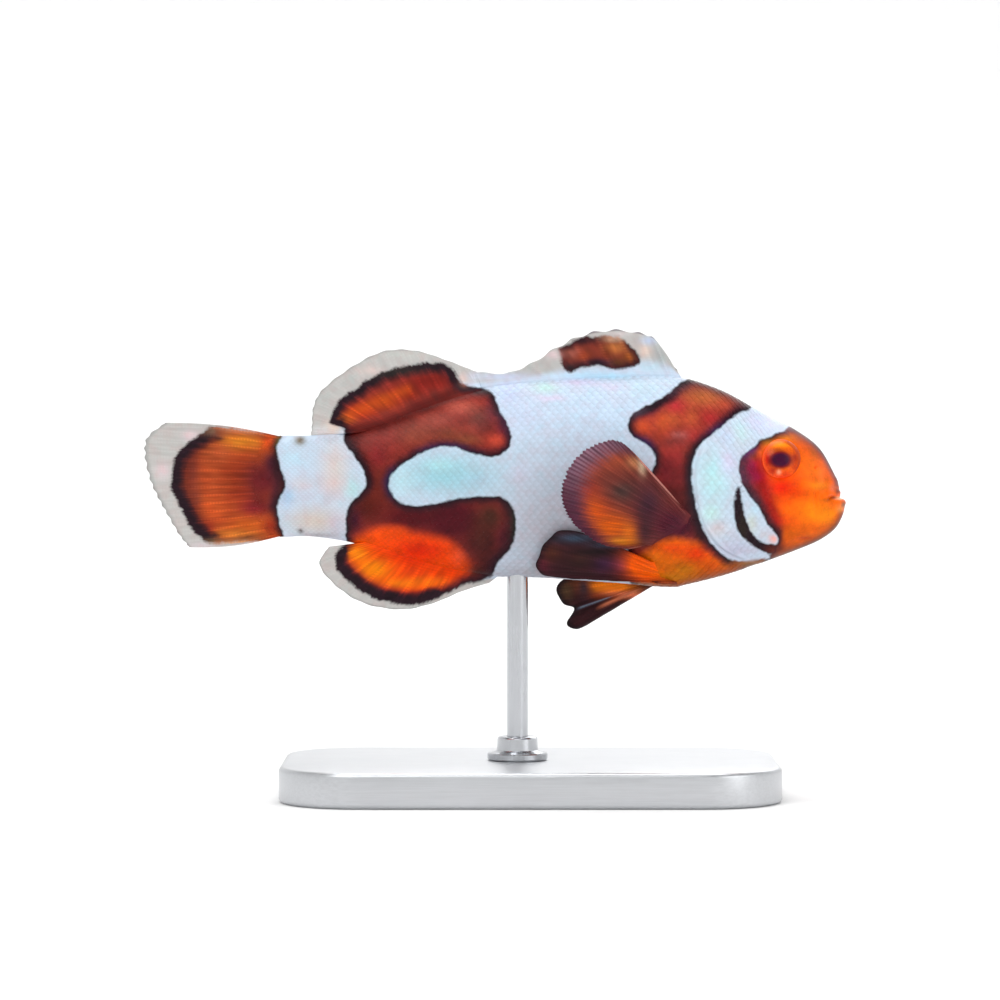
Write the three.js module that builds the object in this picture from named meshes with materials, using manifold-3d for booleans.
// A life-size clownfish, swimming level, held by a plain display stand.
// Millimetres, +Z up, +X towards the snout. The fish's right side faces -Y.
// The origin is on the floor, under the middle of the model's box.
import * as THREE from "three";
import { mergeVertices } from "three/addons/utils/BufferGeometryUtils.js";
import Module from "manifold-3d";

const wasm = await Module();
wasm.setup();

// ---- Driving dimensions ----
const SWIM_HEIGHT = 35; // the fish's axis above the floor
const FORWARD_SHIFT = 0.166; // centres the model's box on the origin
const GAP = 0.3; // clearance between neighbouring pieces
const RINGS = 33; // body rings from snout to tail root
const SPOKES = 26; // points round each body ring
const BACK_SHARPNESS = 1.18; // above 1 narrows the section towards the back
const BELLY_SHARPNESS = 0.92; // below 1 fills the section out at the belly
const FIN_WEB = 0.6; // thickness of the skin between two fin rays
const FIN_RAY = 0.8; // thickness over a fin ray at the margin
const FIN_ROOT = 1.3; // thickness over a fin ray at the body
const FIN_STEPS = 2; // faces along a fin ray
const ROOT_DEPTH = 1.2; // how far a fin's rays start below its base line
const EYE = { x: 32.0, z: 2.9, radius: 2.5, depth: 1.6, proud: 0.75, forward: 9, up: 14, around: 18, down: 10 };
const GILL_PLATE = 0.9; // thickness of a gill cover
const STALK_CUT = -15.8; // where the trunk ends and the tail stalk starts
const STALK_END = -24.0; // where the tail stalk ends and the tail fin starts
const WIDE = 30; // half-width of the prisms that cut the body, past its sides
const BASE = { length: 56, width: 34, height: 4, corner: 9, chamfer: 0.6, centre: 4 };
const ROD = { x: 2.6, radius: 1.2, socket: 2.7 };
const COLLAR = { foot: 3.4, top: 2.3, height: 2.4 };
const ROUND_SIDES = 20; // facets of the rod and its collar

// ---- The body: [x, back, belly, half-width] of rings, from the snout to the tail root ----
const BODY = [
  [39.5, -2.0, -2.0, 0],
  [39.3, -0.6, -3.2, 1.35],
  [38.4, 1.2, -4.85, 2.6],
  [36.6, 4.3, -6.2, 3.75],
  [33.8, 6.45, -7.4, 4.6],
  [29.8, 8.5, -8.85, 5.15],
  [25.1, 11.0, -10.35, 5.45],
  [19.7, 12.5, -11.4, 5.5],
  [12.9, 12.4, -11.0, 5.2],
  [5.5, 12.0, -10.5, 4.7],
  [-1.8, 11.1, -10.2, 4.0],
  [-9.2, 8.9, -8.7, 3.1],
  [-15.9, 6.4, -6.6, 2.15],
  [-21.0, 5.8, -5.8, 1.5],
  [-25.2, 5.8, -5.9, 0.9],
  [-26.0, 0, 0, 0],
];

// The rear edge of the head in side view, from the nape round the gill covers to the throat.
const HEAD_REAR = [[26.6, 14], [24.6, 7.0], [22.9, 2.7], [22.7, -1.1], [23.6, -4.5], [26.2, -7.6], [31.5, -12]];
// A gill cover in side view: its front edge, then points past the head's rear edge.
const GILL_COVER = [[28.8, 5.4], [27.9, 2.9], [27.3, -0.5], [27.7, -3.9], [29.2, -7.0], [24, -7.4], [20, -1], [23.5, 5.6]];
const LOWER_JAW = [[42, -1.1], [38.1, -1.7], [36.7, -2.1], [34.6, -4.8], [32.8, -10], [42, -10]];
const UPPER_LIP = [[42, 0.3], [38.2, -1.3], [36.6, -1.8], [36.3, -0.6], [38.2, 0.3], [42, 0.9]];

// ---- Fins: [base x, base z, margin x, margin z] along key rays, from the front to the rear ----
const DORSAL_FRONT = [
  [21.1, 12.3, 20.3, 14.0],
  [19.9, 12.5, 18.5, 16.3],
  [18.0, 12.5, 16.3, 17.6],
  [15.4, 12.5, 12.9, 17.9],
  [12.4, 12.3, 9.7, 17.2],
  [9.3, 12.2, 6.8, 15.8],
  [5.9, 12.0, 3.8, 14.1],
  [2.1, 11.6, 1.0, 13.1],
  [-1.4, 11.1, -2.0, 13.2],
];
const DORSAL_REAR = [
  [-1.8, 11.1, -2.6, 13.5],
  [-3.8, 10.7, -5.6, 14.7],
  [-6.3, 9.9, -9.2, 15.4],
  [-8.8, 9.0, -12.8, 15.3],
  [-11.3, 8.0, -16.3, 13.7],
  [-13.6, 7.2, -19.5, 11.1],
  [-15.2, 6.7, -20.6, 9.1],
  [-16.3, 6.4, -20.7, 7.0],
];
const ANAL = [
  [0.1, -10.3, -0.9, -11.4],
  [-2.3, -10.1, -3.8, -12.4],
  [-5.0, -9.6, -7.2, -13.4],
  [-7.7, -9.0, -10.8, -14.0],
  [-10.4, -8.2, -14.9, -13.5],
  [-12.9, -7.5, -18.2, -11.5],
  [-14.6, -7.0, -19.9, -9.2],
  [-15.7, -6.7, -19.2, -7.5],
];
const TAIL = [
  [-24.4, 5.6, -37.4, 7.1],
  [-24.4, 4.2, -39.5, 5.5],
  [-24.4, 2.5, -39.8, 3.4],
  [-24.4, 0.8, -39.2, 0.8],
  [-24.4, -0.8, -38.2, -1.4],
  [-24.4, -2.5, -37.1, -3.4],
  [-24.4, -4.1, -35.8, -5.6],
  [-24.4, -5.7, -34.7, -6.9],
];
// Raised and spread, as in a slow turn of the fin.
const PECTORAL = [
  [21.9, -3.3, 15.8, 3.4],
  [21.7, -3.9, 13.6, 5.2],
  [21.4, -4.4, 10.6, 4.5],
  [20.9, -4.8, 8.4, 2.5],
  [20.3, -5.3, 7.3, -0.2],
  [19.7, -5.7, 7.7, -2.8],
  [19.0, -6.2, 9.2, -4.8],
  [18.3, -6.7, 11.8, -6.6],
  [17.7, -7.2, 15.1, -7.1],
];
// Folded back against the belly.
const PELVIC_FOLDED = [
  [20.3, -11.0, 11.8, -10.5],
  [20.0, -10.9, 7.2, -10.4],
  [19.7, -10.7, 5.0, -9.9],
  [19.4, -10.5, 4.5, -8.8],
  [19.1, -10.2, 5.2, -6.9],
  [18.8, -9.9, 6.6, -5.3],
  [18.5, -9.6, 8.4, -5.0],
  [18.1, -9.3, 10.6, -5.8],
];
// Lowered and spread, with a notch between its two lobes.
const PELVIC_SPREAD = [
  [20.4, -11.1, 12.3, -15.6],
  [20.0, -11.1, 9.2, -16.9],
  [19.6, -11.1, 8.4, -16.0],
  [19.2, -11.1, 9.3, -14.4],
  [18.8, -11.0, 7.3, -13.4],
  [18.4, -11.0, 7.1, -11.8],
  [18.0, -10.9, 8.6, -10.9],
  [17.6, -10.8, 12.6, -10.3],
];

// ---- Smooth curves through rows of numbers ----
function between(rows, t) {
  const place = THREE.MathUtils.clamp(t, 0, 1) * (rows.length - 1);
  const i = Math.min(Math.floor(place), rows.length - 2);
  const f = place - i;
  const row = (k) => rows[THREE.MathUtils.clamp(k, 0, rows.length - 1)];
  return row(i).map((p1, k) => {
    const [p0, p2, p3] = [row(i - 1)[k], row(i + 1)[k], row(i + 2)[k]];
    const pull = (p2 - p0) / 2;
    const push = (p3 - p1) / 2;
    const a = 2 * p1 - 2 * p2 + pull + push;
    const b = -3 * p1 + 3 * p2 - 2 * pull - push;
    return ((a * f + b) * f + pull) * f + p1;
  });
}

// ---- Solids and meshes ----
function solidOf(geometry) {
  geometry.deleteAttribute("normal");
  geometry.deleteAttribute("uv");
  const merged = mergeVertices(geometry, 1e-4);
  return new wasm.Manifold(
    new wasm.Mesh({
      numProp: 3,
      vertProperties: merged.attributes.position.array,
      triVerts: new Uint32Array(merged.index.array),
    }),
  );
}

function largest(solid) {
  return solid.decompose().reduce((a, b) => (b.volume() > a.volume() ? b : a));
}

function meshOf(name, solid, material) {
  const { vertProperties, triVerts, numProp } = largest(solid).getMesh();
  const position = new Float32Array((vertProperties.length / numProp) * 3);
  for (let i = 0; i < position.length / 3; i++) {
    position.set(vertProperties.subarray(i * numProp, i * numProp + 3), i * 3);
  }
  const geometry = new THREE.BufferGeometry()
    .setAttribute("position", new THREE.BufferAttribute(position, 3))
    .setIndex(new THREE.BufferAttribute(triVerts, 1));
  geometry.computeVertexNormals();
  const mesh = new THREE.Mesh(geometry, material);
  mesh.name = name;
  return mesh;
}

// A side-view outline, drawn in x and z, as a prism right through the body.
function prism(outline) {
  const shape = new THREE.Shape(outline.map(([x, z]) => new THREE.Vector2(x, z)));
  const geometry = new THREE.ExtrudeGeometry(shape, { depth: 2 * WIDE, bevelEnabled: false });
  return solidOf(geometry.rotateX(Math.PI / 2).translate(0, WIDE, 0));
}

function smoothed(points, steps) {
  return Array.from({ length: steps + 1 }, (_, i) => between(points, i / steps));
}

// The outline with each of its sides moved outwards, whichever way round it runs.
function grown(outline, by) {
  const corners = outline.map(([x, z]) => new THREE.Vector2(x, z));
  const turn = Math.sign(THREE.ShapeUtils.area(corners));
  return corners.map((corner, i) => {
    const before = corner.clone().sub(corners.at(i - 1)).normalize();
    const after = corners[(i + 1) % corners.length].clone().sub(corner).normalize();
    const out = before.clone().add(after).normalize().rotateAround(new THREE.Vector2(), (-turn * Math.PI) / 2);
    const stretch = 1 / Math.max(Math.sqrt((1 + before.dot(after)) / 2), 0.4);
    return [corner.x + out.x * by * stretch, corner.y + out.y * by * stretch];
  });
}

// ---- The body's surface ----
// A point at t along the body, from 0 at the snout to 1 at the tail root, and at an angle from the back.
function bodyPoint(t, angle, grow = 0) {
  const [x, back, belly, halfWidth] = between(BODY, t);
  const middle = (back + belly) / 2;
  const tall = (back - belly) / 2 + (t > 0 && t < 1 ? grow : 0);
  const wide = Math.max(halfWidth, 0) + (t > 0 && t < 1 ? grow : 0);
  const sine = Math.sin(angle);
  const sharpness = Math.cos(angle) > 0 ? BACK_SHARPNESS : BELLY_SHARPNESS;
  return new THREE.Vector3(
    x + grow * Math.cos(Math.PI * t),
    Math.sign(sine) * wide * Math.abs(sine) ** sharpness,
    middle + tall * Math.cos(angle),
  );
}

function bodySolid(grow = 0) {
  const geometry = new THREE.SphereGeometry(1, SPOKES, RINGS);
  const position = geometry.attributes.position;
  for (let i = 0; i < position.count; i++) {
    const spoke = i % (SPOKES + 1);
    const ring = Math.floor(i / (SPOKES + 1));
    const angle = (2 * Math.PI * (spoke % SPOKES)) / SPOKES;
    const point = bodyPoint(ring / RINGS, -angle, grow);
    position.setXYZ(i, point.x, ring % RINGS === 0 ? 0 : point.y, point.z);
  }
  return solidOf(geometry);
}

// The body's half-width at a point in side view.
function sideAt(x, z) {
  let near = 0;
  let far = 1;
  for (let i = 0; i < 30; i++) {
    const half = (near + far) / 2;
    if (between(BODY, half)[0] > x) near = half;
    else far = half;
  }
  const [, back, belly, halfWidth] = between(BODY, near);
  const rise = THREE.MathUtils.clamp((2 * z - back - belly) / (back - belly), -1, 1);
  return halfWidth * Math.sqrt(1 - rise * rise) ** (rise > 0 ? BACK_SHARPNESS : BELLY_SHARPNESS);
}

// ---- Fins ----
// A fin is a flat box whose faces follow its rays: u runs from the first ray to the last, v from the root to
// the margin. outward(x, z, u, v) says how far the fin stands from the fish's middle plane.
function finSolid(keys, rays, outward, { notch = 0.03, rootDepth = ROOT_DEPTH } = {}) {
  const middle = (u, v) => {
    const [baseX, baseZ, marginX, marginZ] = between(keys, u);
    const reach = Math.hypot(marginX - baseX, marginZ - baseZ);
    const along = v * (1 + rootDepth / reach) - rootDepth / reach;
    const x = THREE.MathUtils.lerp(baseX, marginX, along);
    const z = THREE.MathUtils.lerp(baseZ, marginZ, along);
    return new THREE.Vector3(x, outward(x, z, u, along), z);
  };
  const geometry = new THREE.BoxGeometry(1, 1, 1, 2 * rays, FIN_STEPS, 1);
  const position = geometry.attributes.position;
  for (let i = 0; i < position.count; i++) {
    const u = position.getX(i) + 0.5;
    const column = Math.round(u * 2 * rays);
    const onRay = column % 2 === 1 || column === 0 || column === 2 * rays;
    const v = (position.getY(i) + 0.5) * (onRay ? 1 : 1 - notch);
    const at = middle(u, v);
    const thickness = onRay ? THREE.MathUtils.lerp(FIN_ROOT, FIN_RAY, v) : FIN_WEB;
    at.y += Math.sign(position.getZ(i)) * thickness * 0.5;
    position.setXYZ(i, at.x, at.y, at.z);
  }
  const solid = solidOf(geometry);
  return solid.volume() > 0 ? solid : turnedOut(geometry);
}

// The same closed surface with every face turned round.
function turnedOut(geometry) {
  const index = geometry.index.array;
  for (let i = 0; i < index.length; i += 3) [index[i], index[i + 1]] = [index[i + 1], index[i]];
  return solidOf(geometry);
}

function mirrored(solid) {
  return solid.mirror([0, 1, 0]);
}

// ---- Stand ----
function basePlate() {
  const { length, width, height, corner, chamfer } = BASE;
  const [x, y, r] = [length / 2 - chamfer, width / 2 - chamfer, corner - chamfer];
  const outline = new THREE.Shape();
  outline.absarc(x - r, y - r, r, 0, Math.PI / 2);
  outline.absarc(-x + r, y - r, r, Math.PI / 2, Math.PI);
  outline.absarc(-x + r, -y + r, r, Math.PI, 1.5 * Math.PI);
  outline.absarc(x - r, -y + r, r, 1.5 * Math.PI, 2 * Math.PI);
  const geometry = new THREE.ExtrudeGeometry(outline, {
    depth: height - 2 * chamfer,
    bevelSize: chamfer,
    bevelThickness: chamfer,
    bevelSegments: 1,
    curveSegments: 6,
  });
  return solidOf(geometry.translate(BASE.centre, 0, chamfer));
}

function uprightCylinder(radius, low, high) {
  const geometry = new THREE.CylinderGeometry(radius, radius, high - low, ROUND_SIDES);
  return solidOf(geometry.rotateX(Math.PI / 2).translate(ROD.x, 0, (low + high) / 2));
}

function collarRing() {
  const low = BASE.height + GAP;
  const bore = ROD.radius + GAP;
  const profile = [[bore, low], [COLLAR.foot, low], [COLLAR.foot, low + 0.5], [COLLAR.top, low + COLLAR.height],
    [bore, low + COLLAR.height], [bore, low]].map(([r, z]) => new THREE.Vector2(r, z));
  return solidOf(new THREE.LatheGeometry(profile, ROUND_SIDES).rotateX(Math.PI / 2).translate(ROD.x, 0, 0));
}

// ---- Materials ----
function finish(colour, roughness, metalness = 0) {
  return new THREE.MeshStandardMaterial({ color: colour, roughness, metalness });
}
const ORANGE = finish(0xe8650f, 0.45);
const WHITE = finish(0xc6d6e6, 0.45);
const MAROON = finish(0x7a2f26, 0.5);
const TAWNY = finish(0xa8451f, 0.5);
const DARK = finish(0x3a2226, 0.5);
const EYE_FINISH = finish(0x7a2010, 0.1);
const PLATE_METAL = finish(0xc9cacb, 0.35, 0.9);
const ROD_METAL = finish(0xbfc1c3, 0.2, 1);

// ---- The fish ----
const body = bodySolid();
const clearance = bodySolid(GAP);
const headRear = smoothed(HEAD_REAR, 18);
const aheadOf = (shift) => prism([...headRear.map(([x, z]) => [x + shift, z]), [60, -12], [60, 14]]);
const leftEye = eyeball(0);
const eyeSocket = eyeball(GAP);
const gillOutline = smoothed([...GILL_COVER, GILL_COVER[0]], 28).slice(0, -1);

const headBlock = body.intersect(aheadOf(GAP));
const lowerJaw = headBlock.intersect(prism(LOWER_JAW));
const upperLip = headBlock.intersect(prism(UPPER_LIP));
const gillCovers = headBlock.intersect(prism(gillOutline)).subtract(bodySolid(-GILL_PLATE));
const gillBed = prism(grown(gillOutline, GAP)).subtract(bodySolid(-GILL_PLATE - GAP));
const head = [prism(grown(LOWER_JAW, GAP)), prism(grown(UPPER_LIP, GAP)), gillBed, eyeSocket, mirrored(eyeSocket)]
  .reduce((solid, cut) => solid.subtract(cut), headBlock);
const behindHead = body.subtract(aheadOf(0));

// The left eye, a flattened ball that looks out along the head's own surface, forwards and up.
function eyeball(grow) {
  const { radius, depth, proud, forward, up, around, down } = EYE;
  const geometry = new THREE.SphereGeometry(1, around, down).rotateX(Math.PI / 2);
  geometry.scale(radius + grow, depth + grow, radius + grow);
  geometry.rotateX(THREE.MathUtils.degToRad(up)).rotateZ(THREE.MathUtils.degToRad(-forward));
  return solidOf(geometry.translate(EYE.x, sideAt(EYE.x, EYE.z) + proud - depth, EYE.z));
}

function slab(from, to) {
  return prism([[from, -20], [to, -20], [to, 20], [from, 20]]);
}

function halfOf(solid, side) {
  const box = solidOf(new THREE.BoxGeometry(200, 60, 100).translate(0, side * 30, 0));
  return solid.intersect(box);
}

const trunk = behindHead.intersect(slab(STALK_CUT + GAP / 2, 60));
const tailStalk = behindHead.intersect(slab(STALK_END, STALK_CUT - GAP / 2));
const offBody = (solid) => solid.subtract(clearance);

// The median fins carry a faint sideways wave that grows towards their margins.
const median = (wave) => (x, z, u, v) => wave * Math.sin(2 * Math.PI * u) * Math.max(v, 0) ** 2;
const pectoralOut = (x, z, u, v) => {
  const [rootX, rootZ] = between(PECTORAL, u);
  return -(sideAt(rootX, rootZ) + 0.1 + Math.max(v, 0) * (4.9 + 0.9 * Math.sin(Math.PI * u)) + Math.min(v, 0));
};
const pelvicFoldedOut = (x, z, u, v) => {
  const sunk = Math.max(0, 1 - v / 0.25) ** 2;
  return -(sideAt(x, Math.max(z, -10.2)) + 1.05 - 1.5 * sunk);
};
const pelvicSpreadOut = (x, z, u, v) => 1.6 + 6.0 * v - 1.2 * v * u;

const dorsalFront = offBody(finSolid(DORSAL_FRONT, 10, median(0.1), { notch: 0.09 }));
const dorsalRear = offBody(finSolid(DORSAL_REAR, 15, median(0.35)));
const anal = offBody(finSolid(ANAL, 12, median(-0.3)));
const tailFin = finSolid(TAIL, 15, median(0.5)).intersect(slab(-60, STALK_END - GAP));
const pectoral = offBody(finSolid(PECTORAL, 16, pectoralOut));
const pelvicRight = offBody(finSolid(PELVIC_FOLDED, 6, pelvicFoldedOut, { rootDepth: 0.5 }));
const pelvicLeft = offBody(finSolid(PELVIC_SPREAD, 6, pelvicSpreadOut, { rootDepth: 0.5 }));
const raised = [FORWARD_SHIFT, 0, SWIM_HEIGHT];

const fish = new THREE.Group();
fish.position.set(...raised);
fish.add(
  meshOf("head", head, ORANGE),
  meshOf("upper_lip", upperLip, ORANGE),
  meshOf("lower_jaw", lowerJaw, ORANGE),
  meshOf("gill_cover_right", halfOf(gillCovers, -1), WHITE),
  meshOf("gill_cover_left", halfOf(gillCovers, 1), WHITE),
  meshOf("eye_right", mirrored(leftEye), EYE_FINISH),
  meshOf("eye_left", leftEye, EYE_FINISH),
  meshOf("trunk", trunk, WHITE),
  meshOf("tail_stalk", tailStalk, WHITE),
  meshOf("dorsal_fin_front", dorsalFront, WHITE),
  meshOf("dorsal_fin_rear", dorsalRear, MAROON),
  meshOf("anal_fin", anal, ORANGE),
  meshOf("tail_fin", tailFin, TAWNY),
  meshOf("pectoral_fin_right", pectoral, MAROON),
  meshOf("pectoral_fin_left", mirrored(pectoral), MAROON),
  meshOf("pelvic_fin_right", pelvicRight, DARK),
  meshOf("pelvic_fin_left", pelvicLeft, DARK),
);

const rodTop = SWIM_HEIGHT;
const lifted = (solid, drop = 0) => solid.translate([raised[0], raised[1], raised[2] - drop]);
const rod = uprightCylinder(ROD.radius, BASE.height - ROD.socket, rodTop)
  .subtract(lifted(body))
  .subtract(lifted(body, GAP));
const base = basePlate().subtract(uprightCylinder(ROD.radius + GAP, BASE.height - ROD.socket - GAP, BASE.height + 1));

const stand = new THREE.Group();
stand.add(
  meshOf("stand_base", base, PLATE_METAL),
  meshOf("stand_collar", collarRing(), ROD_METAL),
  meshOf("stand_rod", rod, ROD_METAL),
);

const model = new THREE.Group();
model.add(fish, stand);
export default model;
